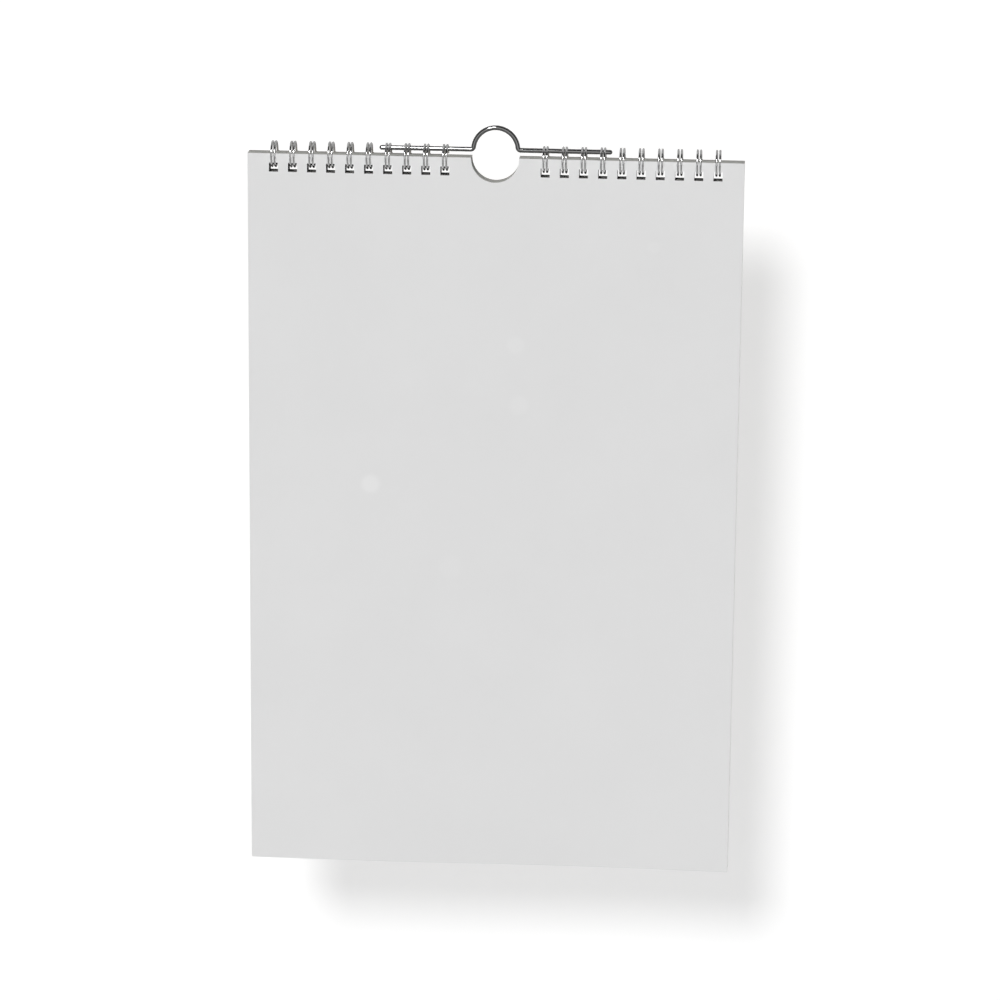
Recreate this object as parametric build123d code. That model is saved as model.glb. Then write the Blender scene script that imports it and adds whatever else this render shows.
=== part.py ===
from build123d import *
import math
import os

# Wall calendar: a pad of sheets held along its top edge by two wire combs, hung from a bent wire hanger.
# Millimetres. +X to the right as the calendar is read, +Y back into the wall, +Z up.
# The origin is where the nail carries the hanger: the underside of the top of its arch.

# Sheets
page_width = 220.0
page_height = 330.0
cover_thickness = 0.35
block_thickness = 5.2
board_thickness = 1.3
cover_air = 0.16  # between the front cover and the first page

# Punching
hole_pitch = 25.4 / 3  # three holes to the inch
hole_size = 4.0
inner_hole_offset = 22.2  # from the middle of the sheet to the centre of the nearest hole
edge_margin = 10.0  # least distance from a side of the sheet to the centre of a hole
strip_height = 4.2  # paper left between the top edge and the holes
notch_radius = 10.6
notch_drop = 0.4  # centre of the thumb notch below the top edge

# Wire combs
comb_wire = 0.95
loop_radius = 5.5  # centre line
twin_spacing = 1.5  # between the two wires of a loop
spine_bend_radius = 1.0
strip_clearance = 0.12  # between the strip of paper and the inside of a loop
seam_gap = 0.15  # between a loop's closed tip and the spine
seam_angle = 0.0  # degrees up from straight back, where the spine lies

# Hanger
hanger_wire = 2.1
arch_radius = 9.85  # centre line
shoulder_radius = 1.35
arm_past_loop = 4.0  # how far an arm runs past the centre of the last loop that it holds
loops_on_arm = 4
arm_end_round = 0.8
hanger_clearance = 0.1  # under the top of the loops

# Worked out from the sizes above
pad_thickness = cover_thickness + cover_air + block_thickness + board_thickness
pad_front = -pad_thickness / 2
block_front = pad_front + cover_thickness + cover_air
board_front = block_front + block_thickness
arm_z = -(arch_radius - hanger_wire / 2)
loop_inside = loop_radius - comb_wire / 2
loop_z = arm_z + hanger_wire / 2 + hanger_clearance - loop_inside
hole_top_z = loop_z - math.sqrt((loop_inside - strip_clearance) ** 2 - (pad_thickness / 2) ** 2)
page_top_z = hole_top_z + strip_height
loops_per_comb = 1 + math.floor(
    (page_width / 2 - edge_margin - inner_hole_offset) / hole_pitch
)
arm_reach = inner_hole_offset + (loops_on_arm - 1) * hole_pitch + arm_past_loop
hole_centres = [
    side * (inner_hole_offset + place * hole_pitch)
    for side in (-1, 1)
    for place in range(loops_per_comb)
]


def sheet(front_y, thickness):
    """A sheet or stack of sheets with its square holes and its thumb notch."""
    blank = Pos(0, front_y + thickness / 2, page_top_z - page_height / 2) * Box(
        page_width, thickness, page_height
    )
    hole = Box(hole_size, 3 * thickness, hole_size)
    hole_z = hole_top_z - hole_size / 2
    holes = [Pos(x, front_y + thickness / 2, hole_z) * hole for x in hole_centres]
    notch = Pos(0, front_y + thickness / 2, page_top_z - notch_drop) * (
        Rot(90, 0, 0) * Cylinder(notch_radius, 3 * thickness)
    )
    return (blank - holes - notch).solid()


def on_loop(x, angle, outwards=0.0, along=0.0):
    """A point beside a loop's centre line, at an angle up from straight back."""
    turn = math.radians(angle)
    radius = loop_radius + outwards
    return Vector(
        x,
        radius * math.cos(turn) - along * math.sin(turn),
        loop_z + radius * math.sin(turn) + along * math.cos(turn),
    )


def ring_arc(x, first, last):
    """The long arc of one wire of a loop."""
    middle = (first + last) / 2
    return ThreePointArc(on_loop(x, first), on_loop(x, middle), on_loop(x, last))


def comb(first_x):
    """One wire bent into a row of twin loops that share a spine behind the pad."""
    half_twin = twin_spacing / 2
    diagonal = math.sqrt(0.5)
    start = seam_angle + math.degrees(spine_bend_radius / loop_radius)
    tip_reach = half_twin + comb_wire + seam_gap
    end = seam_angle + 360 - math.degrees(tip_reach / loop_radius)
    edges = []
    for place in range(loops_per_comb):
        left = first_x + place * hole_pitch - half_twin
        right = left + twin_spacing
        edges.append(ring_arc(left, start, end))
        edges.append(
            ThreePointArc(
                on_loop(left, end),
                on_loop(left + half_twin, end, along=half_twin),
                on_loop(right, end),
            )
        )
        edges.append(ring_arc(right, end, start))
        if place < loops_per_comb - 1:
            bend_in = spine_bend_radius * (1 - diagonal)
            bend_along = -spine_bend_radius * diagonal
            next_left = left + hole_pitch
            run_start = on_loop(right + spine_bend_radius, start, along=-spine_bend_radius)
            run_end = on_loop(next_left - spine_bend_radius, start, along=-spine_bend_radius)
            edges.append(
                ThreePointArc(
                    on_loop(right, start),
                    on_loop(right + bend_in, start, along=bend_along),
                    run_start,
                )
            )
            edges.append(Line(run_start, run_end))
            edges.append(
                ThreePointArc(
                    run_end,
                    on_loop(next_left - bend_in, start, along=bend_along),
                    on_loop(next_left, start),
                )
            )
    path = Wire(edges)
    section = Plane(origin=path @ 0, z_dir=path % 0) * Circle(comb_wire / 2)
    return sweep(section, path=path).solid()


def hanger():
    """One wire: two arms along the loops and an arch over the thumb notch."""
    side_angle = math.asin(shoulder_radius / (arch_radius + shoulder_radius))
    bend_x = (arch_radius + shoulder_radius) * math.cos(side_angle)
    bend_z = arm_z + shoulder_radius
    middle_angle = (math.radians(450) + side_angle) / 2
    middle_x = bend_x + shoulder_radius * math.cos(middle_angle)
    middle_z = bend_z + shoulder_radius * math.sin(middle_angle)
    side_x = arch_radius * math.cos(side_angle)
    side_z = arm_z + arch_radius * math.sin(side_angle)
    top_z = arm_z + arch_radius

    def at(x, z):
        return Vector(x, 0, z)

    path = Wire(
        [
            Line(at(-arm_reach, arm_z), at(-bend_x, arm_z)),
            ThreePointArc(at(-bend_x, arm_z), at(-middle_x, middle_z), at(-side_x, side_z)),
            ThreePointArc(at(-side_x, side_z), at(0, top_z), at(side_x, side_z)),
            ThreePointArc(at(side_x, side_z), at(middle_x, middle_z), at(bend_x, arm_z)),
            Line(at(bend_x, arm_z), at(arm_reach, arm_z)),
        ]
    )
    section = Plane(origin=path @ 0, z_dir=path % 0) * Circle(hanger_wire / 2)
    wire = sweep(section, path=path).solid()
    rims = wire.edges().group_by(Axis.X)
    return fillet([*rims[0], *rims[-1]], arm_end_round).solid()


first_loop_x = -inner_hole_offset - (loops_per_comb - 1) * hole_pitch
pieces = {
    "front_cover": sheet(pad_front, cover_thickness),
    "page_block": sheet(block_front, block_thickness),
    "back_board": sheet(board_front, board_thickness),
    "left_wire_comb": comb(first_loop_x),
    "right_wire_comb": comb(inner_hole_offset),
    "wire_hanger": hanger(),
}

os.makedirs("parts", exist_ok=True)
for name, piece in pieces.items():
    export_step(piece, f"parts/{name}.step")

print(f"hinge of the front cover at z {loop_z:.3f}, swing axis at z {arm_z:.3f}")
print(f"top edge of the pad at z {page_top_z:.3f}, pad {pad_thickness:.2f} thick")
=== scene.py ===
import math

import bmesh
import bpy
from mathutils import Matrix, Quaternion, Vector


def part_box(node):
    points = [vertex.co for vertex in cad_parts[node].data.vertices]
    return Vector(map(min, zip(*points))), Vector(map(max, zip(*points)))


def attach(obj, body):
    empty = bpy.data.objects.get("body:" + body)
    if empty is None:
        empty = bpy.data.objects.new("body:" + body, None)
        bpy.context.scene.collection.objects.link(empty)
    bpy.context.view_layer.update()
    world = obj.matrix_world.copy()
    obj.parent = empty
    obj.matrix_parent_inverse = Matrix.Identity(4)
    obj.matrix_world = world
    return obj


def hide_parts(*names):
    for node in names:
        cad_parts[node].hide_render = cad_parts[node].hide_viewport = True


mm = 0.001


def linearColour(hexText, alpha=1.0):
    channels = [int(hexText[i : i + 2], 16) / 255 for i in (1, 3, 5)]
    linear = [c / 12.92 if c <= 0.04045 else ((c + 0.055) / 1.055) ** 2.4 for c in channels]
    return (*linear, alpha)


def addNode(tree, kind, settings=None, values=None, links=None):
    # settings are the node's own, values are its unlinked sockets, links are sockets to feed
    node = tree.nodes.new(kind)
    for name, value in (settings or {}).items():
        setattr(node, name, value)
    for socket, value in (values or {}).items():
        node.inputs[socket].default_value = value
    for socket, source in (links or {}).items():
        tree.links.new(source, node.inputs[socket])
    return node


def newMaterial(name):
    material = bpy.data.materials.new(name)
    material.use_nodes = True
    tree = material.node_tree
    tree.nodes.clear()
    shader = addNode(tree, "ShaderNodeBsdfPrincipled")
    output = addNode(tree, "ShaderNodeOutputMaterial")
    tree.links.new(shader.outputs["BSDF"], output.inputs["Surface"])
    place = addNode(tree, "ShaderNodeTexCoord").outputs["Object"]
    return material, tree, shader, place


def newTree(name, inputs):
    # a Geometry Nodes tree with named inputs: (name, socket type, default)
    tree = bpy.data.node_groups.new(name, "GeometryNodeTree")
    tree.interface.new_socket("Geometry", in_out="INPUT", socket_type="NodeSocketGeometry")
    tree.interface.new_socket("Geometry", in_out="OUTPUT", socket_type="NodeSocketGeometry")
    for label, kind, default in inputs:
        socket = tree.interface.new_socket(label, in_out="INPUT", socket_type=kind)
        if default is not None:
            socket.default_value = default
    source = addNode(tree, "NodeGroupInput")
    result = addNode(tree, "NodeGroupOutput")
    return tree, source, result


def growMesh(obj, tree, values):
    # runs a tree on an object and keeps the result as a plain mesh
    modifier = obj.modifiers.new(tree.name, "NODES")
    modifier.node_group = tree
    for item in tree.interface.items_tree:
        if item.in_out == "INPUT" and item.name in values:
            modifier[item.identifier] = values[item.name]
    depsgraph = bpy.context.evaluated_depsgraph_get()
    finished = bpy.data.meshes.new_from_object(obj.evaluated_get(depsgraph))
    obj.modifiers.remove(modifier)
    obj.data = finished
    return obj


def newPiece(name, mesh):
    obj = bpy.data.objects.new(name, mesh)
    bpy.context.scene.collection.objects.link(obj)
    return obj


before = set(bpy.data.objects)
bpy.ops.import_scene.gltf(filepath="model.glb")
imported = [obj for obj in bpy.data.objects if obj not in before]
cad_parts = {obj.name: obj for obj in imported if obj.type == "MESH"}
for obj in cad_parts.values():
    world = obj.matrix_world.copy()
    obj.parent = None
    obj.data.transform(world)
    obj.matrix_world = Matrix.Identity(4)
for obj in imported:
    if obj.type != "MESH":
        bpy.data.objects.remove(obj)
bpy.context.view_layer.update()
print("stage: frame loaded")

# The places that the rest is worked out from
coverLow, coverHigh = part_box("front_cover")
blockLow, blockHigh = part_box("page_block")
boardLow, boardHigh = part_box("back_board")
leftCombLow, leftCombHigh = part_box("left_wire_comb")
rightCombLow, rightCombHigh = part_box("right_wire_comb")
hangerLow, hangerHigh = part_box("wire_hanger")


# ---- Paper and card: materials

paperLook = {
    "coverColour": "#F0F0F0",  # matt white
    "coverShade": "#EEEEEE",  # the darker of its two tones, which hardly differ
    "coverEdgeShade": "#9A9A9A",  # cut edge, where the sheet shows its fibres; painted darker as painted shade of edges turned from the light
    "patchColour": "#FAFAFA",
    "leafColour": "#EFEEEB",
    "leafShade": "#E4E3DF",
    # painted shade: the leaves' cut edges are painted darker for the shade they lie in
    "leafEdgeShade": "#ABABA7",
    "boardColour": "#B9B5AE",
    "boardSpeck": "#8F8A82",
    # painted shade: the board's cut edge is painted darker for the shade it lies in
    "boardEdgeShade": "#9A9792",
    # painted shade: the walls of the punched holes are painted near black for the deep shade down in
    # them
    "paintedHoleShade": "#161616",
    "fibreMm": 0.35,  # paper fibres are finer; drawn coarser so that they show
    "mottleMm": 55.0,  # slow change of tone over a sheet
    "roughness": 0.62,
}


# pale round spots, lightest towards their middles, each as mm from the left edge, mm below the top
# edge, radius in mm, and strength
palePatches = [
    (55.0, 150.0, 6.0, 0.50),
    (120.0, 84.5, 5.5, 0.22),
    (121.5, 112.0, 6.0, 0.22),
    (181.0, 38.5, 4.0, 0.16),
    (91.5, 188.0, 7.5, 0.12),
]


def paintSheet(tree, shader, colour, edgeShadeColour):
    # the sheet's own colour on its faces; painted shade makes it darker at its cut edges and darkest
    # down in the punched holes
    edge = addNode(tree, "ShaderNodeAttribute", {"attribute_name": "cutEdgeShade"})
    edgeShaded = addNode(
        tree,
        "ShaderNodeMix",
        {"data_type": "RGBA"},
        values={"B": linearColour(edgeShadeColour)},
        links={"Factor": edge.outputs["Fac"], "A": colour},
    )
    deep = addNode(
        tree,
        "ShaderNodeMapRange",
        values={"From Min": 1.0, "From Max": 2.0},
        links={"Value": edge.outputs["Fac"]},
    )
    holeShaded = addNode(
        tree,
        "ShaderNodeMix",
        {"data_type": "RGBA"},
        values={"B": linearColour(paperLook["paintedHoleShade"])},
        links={"Factor": deep.outputs["Result"], "A": edgeShaded.outputs["Result"]},
    )
    tree.links.new(holeShaded.outputs["Result"], shader.inputs["Base Color"])
    # cut fibres have no sheen, where the faces keep theirs
    sheen = addNode(
        tree,
        "ShaderNodeMapRange",
        values={"To Min": 0.5, "To Max": 0.0},
        links={"Value": edge.outputs["Fac"]},
    )
    tree.links.new(sheen.outputs["Result"], shader.inputs["Specular IOR Level"])


def coatedPaper():
    # Matt coated art paper, calendered smooth: even tone, a soft broad sheen and hardly any grain
    material, tree, shader, place = newMaterial("mattCoatedPaper")
    mottle = addNode(
        tree,
        "ShaderNodeTexNoise",
        values={"Scale": 1 / (paperLook["mottleMm"] * mm), "Detail": 3.0, "Roughness": 0.55},
        links={"Vector": place},
    )
    tone = addNode(tree, "ShaderNodeValToRGB", links={"Fac": mottle.outputs["Fac"]})
    tone.color_ramp.elements[0].position = 0.3
    tone.color_ramp.elements[0].color = linearColour(paperLook["coverShade"])
    tone.color_ramp.elements[1].position = 0.7
    tone.color_ramp.elements[1].color = linearColour(paperLook["coverColour"])
    colour = tone.outputs["Color"]
    for across, down, radius, strength in palePatches:
        centre = (coverLow.x + across * mm, coverLow.y, coverHigh.z - down * mm)
        away = addNode(
            tree,
            "ShaderNodeVectorMath",
            {"operation": "DISTANCE"},
            values={1: centre},
            links={0: place},
        )
        fade = addNode(
            tree,
            "ShaderNodeMapRange",
            {"interpolation_type": "SMOOTHERSTEP"},
            values={
                "From Min": 0.35 * radius * mm,
                "From Max": radius * mm,
                "To Min": strength,
                "To Max": 0.0,
            },
            links={"Value": away.outputs["Value"]},
        )
        lighter = addNode(
            tree,
            "ShaderNodeMix",
            {"data_type": "RGBA"},
            values={"B": linearColour(paperLook["patchColour"])},
            links={"Factor": fade.outputs["Result"], "A": colour},
        )
        colour = lighter.outputs["Result"]
    paintSheet(tree, shader, colour, paperLook["coverEdgeShade"])
    grain = addNode(
        tree,
        "ShaderNodeTexNoise",
        values={"Scale": 1 / (paperLook["fibreMm"] * mm), "Detail": 4.0, "Roughness": 0.6},
        links={"Vector": place},
    )
    relief = addNode(
        tree,
        "ShaderNodeBump",
        values={"Strength": 0.08, "Distance": 0.02 * mm},
        links={"Height": grain.outputs["Fac"]},
    )
    tree.links.new(relief.outputs["Normal"], shader.inputs["Normal"])
    shader.inputs["Roughness"].default_value = paperLook["roughness"]
    shader.inputs["IOR"].default_value = 1.5
    return material


def leafPaper():
    # Uncoated offset paper: warmer and rougher than the cover, and each leaf a little different in tone
    material, tree, shader, place = newMaterial("uncoatedPaper")
    leafTone = addNode(tree, "ShaderNodeAttribute", {"attribute_name": "leafTone"})
    tone = addNode(
        tree,
        "ShaderNodeMix",
        {"data_type": "RGBA"},
        values={
            "A": linearColour(paperLook["leafShade"]),
            "B": linearColour(paperLook["leafColour"]),
        },
        links={"Factor": leafTone.outputs["Fac"]},
    )
    fibres = addNode(
        tree,
        "ShaderNodeTexNoise",
        values={"Scale": 1 / (paperLook["fibreMm"] * mm), "Detail": 5.0, "Roughness": 0.7},
        links={"Vector": place},
    )
    shade = addNode(
        tree,
        "ShaderNodeMapRange",
        values={"From Min": 0.3, "From Max": 0.7, "To Min": 0.96, "To Max": 1.0},
        links={"Value": fibres.outputs["Fac"]},
    )
    mixed = addNode(
        tree,
        "ShaderNodeMix",
        {"data_type": "RGBA", "blend_type": "MULTIPLY"},
        values={"Factor": 1.0},
        links={"A": tone.outputs["Result"], "B": shade.outputs["Result"]},
    )
    paintSheet(tree, shader, mixed.outputs["Result"], paperLook["leafEdgeShade"])
    relief = addNode(
        tree,
        "ShaderNodeBump",
        values={"Strength": 0.25, "Distance": 0.03 * mm},
        links={"Height": fibres.outputs["Fac"]},
    )
    tree.links.new(relief.outputs["Normal"], shader.inputs["Normal"])
    shader.inputs["Roughness"].default_value = 0.78
    shader.inputs["IOR"].default_value = 1.45
    return material


def greyBoard():
    # Grey chipboard, pressed from waste paper: speckled, matt, with longer fibres than paper
    material, tree, shader, place = newMaterial("greyChipboard")
    specks = addNode(
        tree,
        "ShaderNodeTexNoise",
        values={"Scale": 1 / (0.9 * mm), "Detail": 6.0, "Roughness": 0.75},
        links={"Vector": place},
    )
    clouds = addNode(
        tree,
        "ShaderNodeTexNoise",
        values={"Scale": 1 / (22 * mm), "Detail": 3.0},
        links={"Vector": place},
    )
    ramp = addNode(tree, "ShaderNodeValToRGB", links={"Fac": specks.outputs["Fac"]})
    ramp.color_ramp.elements[0].position = 0.28
    ramp.color_ramp.elements[0].color = linearColour(paperLook["boardSpeck"])
    ramp.color_ramp.elements[1].position = 0.52
    ramp.color_ramp.elements[1].color = linearColour(paperLook["boardColour"])
    cloud = addNode(
        tree,
        "ShaderNodeMapRange",
        values={"From Min": 0.3, "From Max": 0.7, "To Min": 0.93, "To Max": 1.0},
        links={"Value": clouds.outputs["Fac"]},
    )
    mixed = addNode(
        tree,
        "ShaderNodeMix",
        {"data_type": "RGBA", "blend_type": "MULTIPLY"},
        values={"Factor": 1.0},
        links={"A": ramp.outputs["Color"], "B": cloud.outputs["Result"]},
    )
    paintSheet(tree, shader, mixed.outputs["Result"], paperLook["boardEdgeShade"])
    relief = addNode(
        tree,
        "ShaderNodeBump",
        values={"Strength": 0.4, "Distance": 0.06 * mm},
        links={"Height": specks.outputs["Fac"]},
    )
    tree.links.new(relief.outputs["Normal"], shader.inputs["Normal"])
    shader.inputs["Roughness"].default_value = 0.86
    shader.inputs["IOR"].default_value = 1.45
    return material


# ---- Sheets, all punched alike

punching = {
    "holeSize": 4.0,
    "holePitch": 25.4 / 3,
    "innerHole": 22.2,  # from the middle to the centre of the nearest hole
    "loopsPerComb": 10,
    "strip": 4.2,  # above the holes
    "notchRadius": 10.6,
    "notchDrop": 0.4,
    "gridStep": 7.0,  # distance between the lines that let a sheet bend
    "notchSides": 120,
}


def holeCentres():
    places = range(punching["loopsPerComb"])
    right = [punching["innerHole"] + place * punching["holePitch"] for place in places]
    return sorted([-x for x in right] + right)


def between(first, last, step):
    count = max(1, round(abs(last - first) / step))
    return [first + (last - first) * i / count for i in range(count)]


def punchedSheet(name, frontY, thickness, left, right, bottom, top):
    # a closed sheet whose grid lines run along the edges of its square holes
    half = punching["holeSize"] / 2 * mm
    stops = [left]
    for x in holeCentres():
        stops += [x * mm - half, x * mm + half]
    stops.append(right)
    columns = []
    for first, last in zip(stops, stops[1:]):
        columns += between(first, last, punching["gridStep"] * mm)
    columns.append(right)
    holeTop = top - punching["strip"] * mm
    holeBottom = holeTop - punching["holeSize"] * mm
    rows = [top, holeTop] + between(holeBottom, bottom, punching["gridStep"] * mm) + [bottom]
    mesh = bmesh.new()
    grid = [[mesh.verts.new((x, frontY, z)) for x in columns] for z in rows]
    inHole = [
        any(abs((a + b) / 2 - x * mm) < half for x in holeCentres())
        for a, b in zip(columns, columns[1:])
    ]
    for row in range(len(rows) - 1):
        for column in range(len(columns) - 1):
            if row == 1 and inHole[column]:
                continue
            corners = (
                grid[row][column],
                grid[row + 1][column],
                grid[row + 1][column + 1],
                grid[row][column + 1],
            )
            mesh.faces.new(corners)
    extruded = bmesh.ops.extrude_face_region(mesh, geom=mesh.faces[:], use_keep_orig=True)
    moved = [item for item in extruded["geom"] if isinstance(item, bmesh.types.BMVert)]
    bmesh.ops.translate(mesh, verts=moved, vec=(0, thickness, 0))
    bmesh.ops.recalc_face_normals(mesh, faces=mesh.faces[:])
    data = bpy.data.meshes.new(name)
    mesh.to_mesh(data)
    mesh.free()
    sheet = newPiece(name, data)
    return cutNotch(sheet, frontY, thickness, top)


def cutNotch(sheet, frontY, thickness, top):
    # the half-round thumb notch, cut by a punch a little longer than the sheet is thick
    punch = bmesh.new()
    radius = punching["notchRadius"] * mm
    bmesh.ops.create_cone(
        punch,
        cap_ends=True,
        segments=punching["notchSides"],
        radius1=radius,
        radius2=radius,
        depth=thickness + 2 * mm,
    )
    bmesh.ops.rotate(
        punch,
        verts=punch.verts[:],
        matrix=Matrix.Rotation(math.radians(90), 3, "X"),
    )
    centre = (0, frontY + thickness / 2, top - punching["notchDrop"] * mm)
    bmesh.ops.translate(punch, verts=punch.verts[:], vec=centre)
    data = bpy.data.meshes.new("notchPunch")
    punch.to_mesh(data)
    punch.free()
    tool = newPiece("notchPunch", data)
    bite = sheet.modifiers.new("notch", "BOOLEAN")
    bite.operation = "DIFFERENCE"
    bite.solver = "EXACT"
    bite.object = tool
    depsgraph = bpy.context.evaluated_depsgraph_get()
    finished = bpy.data.meshes.new_from_object(sheet.evaluated_get(depsgraph))
    sheet.modifiers.remove(bite)
    sheet.data = finished
    bpy.data.objects.remove(tool)
    return markEdges(sheet, top)


def markEdges(sheet, top):
    # 0 on the faces, 1 on the outer edges and the notch, 2 on the walls of the square holes; the
    # painted shade of paintSheet follows these marks
    slack = 0.1 * mm
    holeTop = top - punching["strip"] * mm + slack
    holeBottom = holeTop - punching["holeSize"] * mm - 2 * slack
    inner = (punching["innerHole"] - punching["holeSize"]) * mm
    outer = (max(holeCentres()) + punching["holeSize"]) * mm
    cut = sheet.data.attributes.new("cutEdgeShade", "FLOAT", "FACE")
    for face in sheet.data.polygons:
        if abs(face.normal.y) > 0.5:
            continue
        place = face.center
        inHole = holeBottom < place.z < holeTop and inner < abs(place.x) < outer
        cut.data[face.index].value = 2.0 if inHole else 1.0
    return sheet


# How the hanging sheets curl: nothing at the loops, most near the bottom edge
curl = {
    "frontLift": 1.7,  # mm, how far the cover stands out at its fullest
    "backLift": 0.15,
    "crest": -54.0,  # mm from the middle, where the bottom edge stands out most
    "wave": 186.0,  # mm, one full wave along the bottom edge
    "flatTop": 30.0,  # mm below the top edge that stay flat
}


def curlAt(x, z):
    along = 0.5 + 0.5 * math.cos(2 * math.pi * (x / mm - curl["crest"]) / curl["wave"])
    drop = (coverHigh.z - z) / mm - curl["flatTop"]
    length = (coverHigh.z - coverLow.z) / mm - curl["flatTop"]
    share = min(max(drop / length, 0.0), 1.0)
    return along * share**1.6


def curlSheet(sheet, lift):
    for vertex in sheet.data.vertices:
        vertex.co.y -= lift * mm * curlAt(vertex.co.x, vertex.co.z)


paperMaterial = coatedPaper()
leafMaterial = leafPaper()
boardMaterial = greyBoard()

frontSheet = punchedSheet(
    "frontSheet",
    coverLow.y,
    coverHigh.y - coverLow.y,
    coverLow.x,
    coverHigh.x,
    coverLow.z,
    coverHigh.z,
)
curlSheet(frontSheet, curl["frontLift"])
frontSheet.data.materials.append(paperMaterial)
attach(frontSheet, "cover")
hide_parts("front_cover")
print("stage: front sheet")

backBoard = punchedSheet(
    "backBoardSheet",
    boardLow.y,
    boardHigh.y - boardLow.y,
    boardLow.x,
    boardHigh.x,
    boardLow.z,
    boardHigh.z,
)
backBoard.data.materials.append(boardMaterial)
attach(backBoard, "pad")
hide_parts("back_board")
print("stage: back board")


# ---- The inner leaves, stacked by Geometry Nodes

leafStack = {
    "leaves": 13,
    "leafThickness": 0.37,
    "shuffle": 0.02,  # mm, how far a leaf may sit from its neighbours
    "trim": 0.03,  # mm, kept inside the pad at every side for that
    "seed": 7,
}


def leafTree():
    tree, source, result = newTree(
        "leafStack",
        [
            ("Leaves", "NodeSocketInt", 13),
            ("Spacing", "NodeSocketFloat", 0.0004),
            ("Front Lift", "NodeSocketFloat", 0.001),
            ("Back Lift", "NodeSocketFloat", 0.0),
            ("Shuffle", "NodeSocketFloat", 0.0001),
            ("Seed", "NodeSocketInt", 0),
            ("Material", "NodeSocketMaterial", None),
        ],
    )
    step = addNode(tree, "ShaderNodeCombineXYZ", links={"Y": source.outputs["Spacing"]})
    places = addNode(
        tree,
        "GeometryNodeMeshLine",
        links={"Count": source.outputs["Leaves"], "Offset": step.outputs["Vector"]},
    )
    copies = addNode(
        tree,
        "GeometryNodeInstanceOnPoints",
        links={"Points": places.outputs["Mesh"], "Instance": source.outputs["Geometry"]},
    )
    index = addNode(tree, "GeometryNodeInputIndex")
    numbered = addNode(
        tree,
        "GeometryNodeStoreNamedAttribute",
        {"data_type": "FLOAT", "domain": "INSTANCE"},
        values={"Name": "leafNumber"},
        links={"Geometry": copies.outputs["Instances"], "Value": index.outputs["Index"]},
    )
    solid = addNode(
        tree, "GeometryNodeRealizeInstances", links={"Geometry": numbered.outputs["Geometry"]}
    )
    number = addNode(
        tree, "GeometryNodeInputNamedAttribute", {"data_type": "FLOAT"}, values={"Name": "leafNumber"}
    )
    lift = addNode(
        tree, "GeometryNodeInputNamedAttribute", {"data_type": "FLOAT"}, values={"Name": "lift"}
    )
    depth = addNode(
        tree,
        "ShaderNodeMath",
        {"operation": "DIVIDE"},
        links={0: number.outputs["Attribute"], 1: source.outputs["Leaves"]},
    )
    reach = addNode(
        tree,
        "ShaderNodeMix",
        {"data_type": "FLOAT"},
        links={
            "Factor": depth.outputs["Value"],
            "A": source.outputs["Front Lift"],
            "B": source.outputs["Back Lift"],
        },
    )
    forward = addNode(
        tree,
        "ShaderNodeMath",
        {"operation": "MULTIPLY"},
        links={0: reach.outputs["Result"], 1: lift.outputs["Attribute"]},
    )
    backward = addNode(
        tree,
        "ShaderNodeMath",
        {"operation": "MULTIPLY"},
        values={1: -1.0},
        links={0: forward.outputs["Value"]},
    )
    whole = addNode(
        tree,
        "ShaderNodeMath",
        {"operation": "ROUND"},
        links={0: number.outputs["Attribute"]},
    )
    jitter = addNode(
        tree,
        "FunctionNodeRandomValue",
        {"data_type": "FLOAT_VECTOR"},
        values={0: (-1, 0, -1), 1: (1, 0, 1)},
        links={"ID": whole.outputs["Value"], "Seed": source.outputs["Seed"]},
    )
    sideways = addNode(
        tree,
        "ShaderNodeVectorMath",
        {"operation": "SCALE"},
        links={0: jitter.outputs["Value"], "Scale": source.outputs["Shuffle"]},
    )
    outwards = addNode(tree, "ShaderNodeCombineXYZ", links={"Y": backward.outputs["Value"]})
    together = addNode(
        tree,
        "ShaderNodeVectorMath",
        {"operation": "ADD"},
        links={0: sideways.outputs["Vector"], 1: outwards.outputs["Vector"]},
    )
    placed = addNode(
        tree,
        "GeometryNodeSetPosition",
        links={"Geometry": solid.outputs["Geometry"], "Offset": together.outputs["Vector"]},
    )
    tone = addNode(
        tree,
        "FunctionNodeRandomValue",
        {"data_type": "FLOAT"},
        values={2: 0.0, 3: 1.0},
        links={"ID": whole.outputs["Value"], "Seed": source.outputs["Seed"]},
    )
    toned = addNode(
        tree,
        "GeometryNodeStoreNamedAttribute",
        {"data_type": "FLOAT", "domain": "POINT"},
        values={"Name": "leafTone"},
        links={"Geometry": placed.outputs["Geometry"], "Value": tone.outputs[1]},
    )
    painted = addNode(
        tree,
        "GeometryNodeSetMaterial",
        links={"Geometry": toned.outputs["Geometry"], "Material": source.outputs["Material"]},
    )
    tree.links.new(painted.outputs["Geometry"], result.inputs["Geometry"])
    return tree


trim = leafStack["trim"] * mm
blockDepth = blockHigh.y - blockLow.y
leafThickness = leafStack["leafThickness"] * mm
leafSpacing = (blockDepth - leafThickness) / (leafStack["leaves"] - 1)
innerLeaves = punchedSheet(
    "innerLeaves",
    blockLow.y,
    leafThickness,
    blockLow.x + trim,
    blockHigh.x - trim,
    blockLow.z + trim,
    blockHigh.z,
)
liftField = innerLeaves.data.attributes.new("lift", "FLOAT", "POINT")
for vertex in innerLeaves.data.vertices:
    liftField.data[vertex.index].value = curlAt(vertex.co.x, vertex.co.z)
growMesh(
    innerLeaves,
    leafTree(),
    {
        "Leaves": leafStack["leaves"],
        "Spacing": leafSpacing,
        "Front Lift": 0.9 * curl["frontLift"] * mm,
        "Back Lift": curl["backLift"] * mm,
        "Shuffle": leafStack["shuffle"] * mm,
        "Seed": leafStack["seed"],
        "Material": leafMaterial,
    },
)
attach(innerLeaves, "pad")
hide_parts("page_block")
print("stage: inner leaves")


# ---- Wires: paths worked out here, swept by Geometry Nodes

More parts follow.
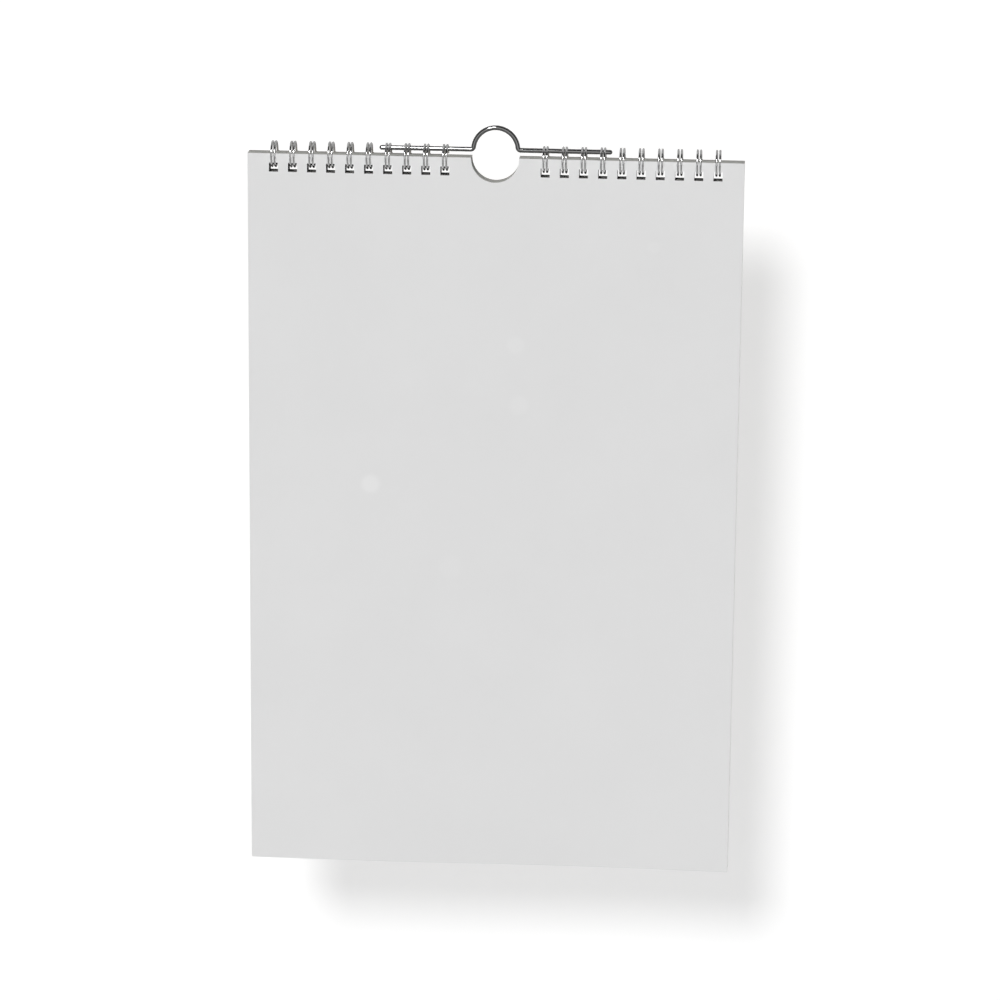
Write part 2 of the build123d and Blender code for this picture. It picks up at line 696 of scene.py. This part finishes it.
combWire = {
    "wire": 0.95,  # mm
    "twinSpacing": 1.5,
    "spineBend": 1.0,
    "seamGap": 0.15,
    "arcSteps": 72,  # points round a loop
    "bendSteps": 8,
    "sides": 16,
    "colour": "#E2E2E2",
    "dullColour": "#DADADA",
    "roughness": 0.15,
    "wearMm": 3.0,
}

hangerWire = {
    "wire": 2.1,  # mm
    "shoulder": 1.35,  # bend from arm to arch
    "archSteps": 96,
    "bendSteps": 12,
    "roundSteps": 7,
    "sides": 28,
    "colour": "#8E8E8E",
    "dullColour": "#868686",
    "roughness": 0.10,
    "wearMm": 6.0,
}


def wireTree():
    tree, source, result = newTree(
        "bentWire",
        [
            ("Radius", "NodeSocketFloat", 0.0005),
            ("Sides", "NodeSocketInt", 16),
            ("Material", "NodeSocketMaterial", None),
        ],
    )
    path = addNode(tree, "GeometryNodeMeshToCurve", links={"Mesh": source.outputs["Geometry"]})
    share = addNode(
        tree, "GeometryNodeInputNamedAttribute", {"data_type": "FLOAT"}, values={"Name": "share"}
    )
    sized = addNode(
        tree,
        "GeometryNodeSetCurveRadius",
        links={"Curve": path.outputs["Curve"], "Radius": share.outputs["Attribute"]},
    )
    section = addNode(
        tree,
        "GeometryNodeCurvePrimitiveCircle",
        links={"Resolution": source.outputs["Sides"], "Radius": source.outputs["Radius"]},
    )
    swept = addNode(
        tree,
        "GeometryNodeCurveToMesh",
        values={"Fill Caps": True},
        links={"Curve": sized.outputs["Curve"], "Profile Curve": section.outputs["Curve"]},
    )
    if "Scale" in swept.inputs:
        tree.links.new(share.outputs["Attribute"], swept.inputs["Scale"])
    smooth = addNode(
        tree, "GeometryNodeSetShadeSmooth", links={"Geometry": swept.outputs["Mesh"]}
    )
    painted = addNode(
        tree,
        "GeometryNodeSetMaterial",
        links={"Geometry": smooth.outputs["Geometry"], "Material": source.outputs["Material"]},
    )
    tree.links.new(painted.outputs["Geometry"], result.inputs["Geometry"])
    return tree


def pathMesh(name, points, shares=None):
    # a string of edges; shares narrow the wire at rounded ends
    data = bpy.data.meshes.new(name)
    edges = [(i, i + 1) for i in range(len(points) - 1)]
    data.from_pydata(points, edges, [])
    field = data.attributes.new("share", "FLOAT", "POINT")
    for i in range(len(points)):
        field.data[i].value = shares[i] if shares else 1.0
    return newPiece(name, data)


def combPath(firstX, loopY, loopZ, loopRadius):
    half = combWire["twinSpacing"] / 2 * mm
    bend = combWire["spineBend"] * mm
    tip = half + (combWire["wire"] + combWire["seamGap"]) * mm
    start = bend / loopRadius
    end = 2 * math.pi - tip / loopRadius

    def place(x, angle, along=0.0):
        # beside the loop's centre line, at an angle up from straight back
        return Vector(
            (
                x,
                loopY + loopRadius * math.cos(angle) - along * math.sin(angle),
                loopZ + loopRadius * math.sin(angle) + along * math.cos(angle),
            )
        )

    points = []
    arcSteps, bendSteps = combWire["arcSteps"], combWire["bendSteps"]
    pitch = punching["holePitch"] * mm
    for loop in range(punching["loopsPerComb"]):
        left = firstX + loop * pitch - half
        right = left + 2 * half
        for i in range(arcSteps + 1):
            points.append(place(left, start + (end - start) * i / arcSteps))
        for i in range(1, bendSteps):
            turn = math.pi * i / bendSteps
            points.append(place(left + half - half * math.cos(turn), end, half * math.sin(turn)))
        for i in range(arcSteps + 1):
            points.append(place(right, end + (start - end) * i / arcSteps))
        if loop < punching["loopsPerComb"] - 1:
            for i in range(1, bendSteps + 1):
                turn = math.pi / 2 * i / bendSteps
                across = right + bend * (1 - math.cos(turn))
                points.append(place(across, start, -bend * math.sin(turn)))
            for i in range(bendSteps):
                turn = math.pi / 2 * (1 - i / bendSteps)
                across = left + pitch - bend * (1 - math.cos(turn))
                points.append(place(across, start, -bend * math.sin(turn)))
    return points


def hangerPath(armZ, archRadius, reach):
    wireRadius = hangerWire["wire"] / 2 * mm
    shoulder = hangerWire["shoulder"] * mm
    side = math.asin(shoulder / (archRadius + shoulder))
    bendX = (archRadius + shoulder) * math.cos(side)
    half = []  # from the top of the arch to the end of the right arm
    for i in range(hangerWire["archSteps"] // 2 + 1):
        angle = math.pi / 2 + (side - math.pi / 2) * i / (hangerWire["archSteps"] // 2)
        half.append((archRadius * math.cos(angle), armZ + archRadius * math.sin(angle), 1.0))
    for i in range(1, hangerWire["bendSteps"] + 1):
        angle = math.pi + side + (math.pi / 2 - side) * i / hangerWire["bendSteps"]
        x = bendX + shoulder * math.cos(angle)
        z = armZ + shoulder + shoulder * math.sin(angle)
        half.append((x, z, 1.0))
    for i in range(hangerWire["roundSteps"] + 1):
        # the end is rounded over almost a wire's radius
        turn = math.pi / 2 * 0.94 * i / hangerWire["roundSteps"]
        x = reach - wireRadius * (1 - math.sin(turn))
        half.append((x, armZ, math.cos(turn)))
    left = [(-x, z, share) for x, z, share in reversed(half[1:])]
    whole = left + half
    points = [Vector((x, 0, z)) for x, z, share in whole]
    return points, [share for x, z, share in whole]


def platedWire(name, look):
    # Nickel-plated drawn steel wire: bright and clean, a little duller where it has been handled
    material, tree, shader, place = newMaterial(name)
    shader.inputs["Metallic"].default_value = 1.0
    wear = addNode(
        tree,
        "ShaderNodeTexNoise",
        values={"Scale": 1 / (look["wearMm"] * mm), "Detail": 2.0, "Roughness": 0.5},
        links={"Vector": place},
    )
    dulled = addNode(
        tree,
        "ShaderNodeMapRange",
        values={"From Min": 0.4, "From Max": 0.75, "To Min": 0.0, "To Max": 1.0},
        links={"Value": wear.outputs["Fac"]},
    )
    gloss = addNode(
        tree,
        "ShaderNodeMapRange",
        values={"To Min": look["roughness"], "To Max": look["roughness"] * 1.35},
        links={"Value": dulled.outputs["Result"]},
    )
    tree.links.new(gloss.outputs["Result"], shader.inputs["Roughness"])
    tint = addNode(
        tree,
        "ShaderNodeMix",
        {"data_type": "RGBA"},
        values={"A": linearColour(look["colour"]), "B": linearColour(look["dullColour"])},
        links={"Factor": dulled.outputs["Result"]},
    )
    tree.links.new(tint.outputs["Result"], shader.inputs["Base Color"])
    return material


bentWire = wireTree()
combMaterial = platedWire("nickelPlatedWire", combWire)
hangerMaterial = platedWire("brightChromedWire", hangerWire)

for body, node, low, high, firstX in (
    ("pad", "left_wire_comb", leftCombLow, leftCombHigh, min(holeCentres())),
    ("pad", "right_wire_comb", rightCombLow, rightCombHigh, punching["innerHole"]),
):
    combRadius = (high.z - low.z) / 2 - combWire["wire"] / 2 * mm
    comb = pathMesh(
        node.split("_")[0] + "CombWire",
        combPath(firstX * mm, 0.0, (high.z + low.z) / 2, combRadius),
    )
    growMesh(
        comb,
        bentWire,
        {
            "Radius": combWire["wire"] / 2 * mm,
            "Sides": combWire["sides"],
            "Material": combMaterial,
        },
    )
    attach(comb, body)
    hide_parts(node)
    comb.visible_shadow = False  # the light is so broad that thin wires leave no shadow on the sheet
print("stage: wire combs")

hangerRadius = hangerWire["wire"] / 2 * mm
archRadius = hangerHigh.z - hangerLow.z - 2 * hangerRadius
hangerPoints, hangerShares = hangerPath(hangerLow.z + hangerRadius, archRadius, hangerHigh.x)
hangerPiece = pathMesh("hangerWire", hangerPoints, hangerShares)
growMesh(
    hangerPiece,
    bentWire,
    {"Radius": hangerRadius, "Sides": hangerWire["sides"], "Material": hangerMaterial},
)
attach(hangerPiece, "hanger")
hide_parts("wire_hanger")
print("stage: hanger")


# ---- Studio: a one-sided pale backdrop that keeps the shadow, soft light, and the camera

studio = {
    "wallBehind": 0.085,  # m behind the pad's middle
    "floorBelow": 0.90,
    "coveRadius": 0.25,
    "halfWidth": 3.0,
    "wallHeight": 2.5,
    "floorReach": 4.0,
    "wallColour": "#C4C4C4",
    "wallGlow": 0.60,  # lifts the wall to white for the camera, and leaves the shadow in
    "keyStrength": 2.2,
    "keyAngle": 16.0,  # degrees across, for a soft shadow
    "keyFrom": (-0.25, -1.0, 0.68),
    "screenFrom": 0.75,  # how far forwards a direction points where the front screen begins
    "screenFull": 0.92,
    "screenLevel": 0.95,
    "fillLevel": 0.62,  # share of the room's light that reaches matt surfaces
    "backStrength": 0.8,
    "backFrom": (-0.35, 1.0, -0.12),
}


def backdrop():
    wallY = studio["wallBehind"]
    floorZ = -studio["floorBelow"]
    radius = studio["coveRadius"]
    profile = [(wallY, studio["wallHeight"])]
    for i in range(13):
        angle = math.pi / 2 * i / 12
        profile.append(
            (
                wallY - radius + radius * math.cos(angle),
                floorZ + radius - radius * math.sin(angle),
            )
        )
    profile.append((-studio["floorReach"], floorZ))
    wide = studio["halfWidth"]
    points = [(x, y, z) for y, z in profile for x in (-wide, wide)]
    faces = [(2 * i, 2 * i + 2, 2 * i + 3, 2 * i + 1) for i in range(len(profile) - 1)]
    data = bpy.data.meshes.new("backdrop")
    data.from_pydata(points, [], faces)
    for face in data.polygons:
        face.use_smooth = True
    return newPiece("backdrop", data)


def backdropPaper():
    material = bpy.data.materials.new("paleBackdrop")
    material.use_nodes = True
    tree = material.node_tree
    tree.nodes.clear()
    output = addNode(tree, "ShaderNodeOutputMaterial")
    rays = addNode(tree, "ShaderNodeLightPath")
    matt = addNode(
        tree, "ShaderNodeBsdfDiffuse", values={"Color": linearColour(studio["wallColour"])}
    )
    glow = addNode(
        tree,
        "ShaderNodeEmission",
        values={"Color": (1, 1, 1, 1), "Strength": studio["wallGlow"]},
    )
    lit = addNode(
        tree,
        "ShaderNodeAddShader",
        links={0: matt.outputs["BSDF"], 1: glow.outputs["Emission"]},
    )
    seen = addNode(
        tree,
        "ShaderNodeMixShader",
        links={
            0: rays.outputs["Is Camera Ray"],
            1: matt.outputs["BSDF"],
            2: lit.outputs["Shader"],
        },
    )
    side = addNode(tree, "ShaderNodeNewGeometry")
    clear = addNode(tree, "ShaderNodeBsdfTransparent")
    oneSided = addNode(
        tree,
        "ShaderNodeMixShader",
        links={
            0: side.outputs["Backfacing"],
            1: seen.outputs["Shader"],
            2: clear.outputs["BSDF"],
        },
    )
    tree.links.new(oneSided.outputs["Shader"], output.inputs["Surface"])
    return material


def studioWorld():
    # white to the camera; to everything else a room with a dark ceiling and a broad pale screen in
    # front, so that the wires are pale where they face the front and dark along their tops
    world = bpy.data.worlds.new("studioWorld")
    bpy.context.scene.world = world
    world.use_nodes = True
    tree = world.node_tree
    tree.nodes.clear()
    output = addNode(tree, "ShaderNodeOutputWorld")
    direction = addNode(tree, "ShaderNodeTexCoord").outputs["Generated"]
    parts = addNode(tree, "ShaderNodeSeparateXYZ", links={"Vector": direction})
    lifted = addNode(
        tree,
        "ShaderNodeMapRange",
        values={"From Min": -1.0, "From Max": 1.0, "To Min": 0.0, "To Max": 1.0},
        links={"Value": parts.outputs["Z"]},
    )
    room = addNode(tree, "ShaderNodeValToRGB", links={"Fac": lifted.outputs["Result"]})
    stops = room.color_ramp.elements
    stops[0].position = 0.0
    stops[0].color = linearColour("#A8A8A8")
    stops[1].position = 1.0
    stops[1].color = linearColour("#161616")
    for position, colour in ((0.35, "#8C8C8C"), (0.55, "#5A5A5A"), (0.75, "#1E1E1E")):
        stop = stops.new(position)
        stop.color = linearColour(colour)
    screen = addNode(
        tree,
        "ShaderNodeMapRange",
        {"interpolation_type": "SMOOTHSTEP"},
        values={
            "From Min": -studio["screenFrom"],
            "From Max": -studio["screenFull"],
            "To Min": 0.0,
            "To Max": 1.0,
        },
        links={"Value": parts.outputs["Y"]},
    )
    lit = addNode(
        tree,
        "ShaderNodeMix",
        {"data_type": "RGBA"},
        values={"B": [studio["screenLevel"]] * 3 + [1.0]},
        links={"Factor": screen.outputs["Result"], "A": room.outputs["Color"]},
    )
    rays = addNode(tree, "ShaderNodeLightPath")
    level = addNode(
        tree,
        "ShaderNodeMapRange",
        values={"To Min": 1.0, "To Max": studio["fillLevel"]},
        links={"Value": rays.outputs["Is Diffuse Ray"]},
    )
    dim = addNode(
        tree,
        "ShaderNodeBackground",
        links={"Color": lit.outputs["Result"], "Strength": level.outputs["Result"]},
    )
    white = addNode(
        tree, "ShaderNodeBackground", values={"Color": (1, 1, 1, 1), "Strength": 1.0}
    )
    both = addNode(
        tree,
        "ShaderNodeMixShader",
        links={
            0: rays.outputs["Is Camera Ray"],
            1: dim.outputs["Background"],
            2: white.outputs["Background"],
        },
    )
    tree.links.new(both.outputs["Shader"], output.inputs["Surface"])


def softSun(name, comesFrom, strength, angle):
    data = bpy.data.lights.new(name, "SUN")
    data.energy = strength
    data.angle = math.radians(angle)
    lamp = bpy.data.objects.new(name, data)
    bpy.context.scene.collection.objects.link(lamp)
    lamp.rotation_mode = "QUATERNION"
    lamp.rotation_quaternion = Vector(comesFrom).to_track_quat("Z", "Y")
    return lamp


stageMesh = backdrop()
stageMesh.data.materials.append(backdropPaper())
stageMesh.visible_shadow = False
studioWorld()
softSun("keyLight", studio["keyFrom"], studio["keyStrength"], studio["keyAngle"])
softSun("backLight", studio["backFrom"], studio["backStrength"], studio["keyAngle"])

view = {
    "lens": 151.02,
    "place": (0.1271, -1.8257, 0.3220),
    "look": (-0.0653, 0.9636, -0.2591),
    "roll": 0.55,  # degrees, anticlockwise as the camera looks
}


def makeCamera():
    data = bpy.data.cameras.new("camera")
    data.lens = view["lens"]
    data.sensor_width = 36
    data.clip_start = 0.01
    data.clip_end = 50
    camera = bpy.data.objects.new("camera", data)
    bpy.context.scene.collection.objects.link(camera)
    camera.location = view["place"]
    camera.rotation_mode = "QUATERNION"
    aim = Vector(view["look"]).to_track_quat("-Z", "Y")
    camera.rotation_quaternion = aim @ Quaternion((0, 0, 1), math.radians(view["roll"]))
    bpy.context.scene.camera = camera


makeCamera()
bpy.context.scene.view_settings.view_transform = "Standard"
print("stage: studio")
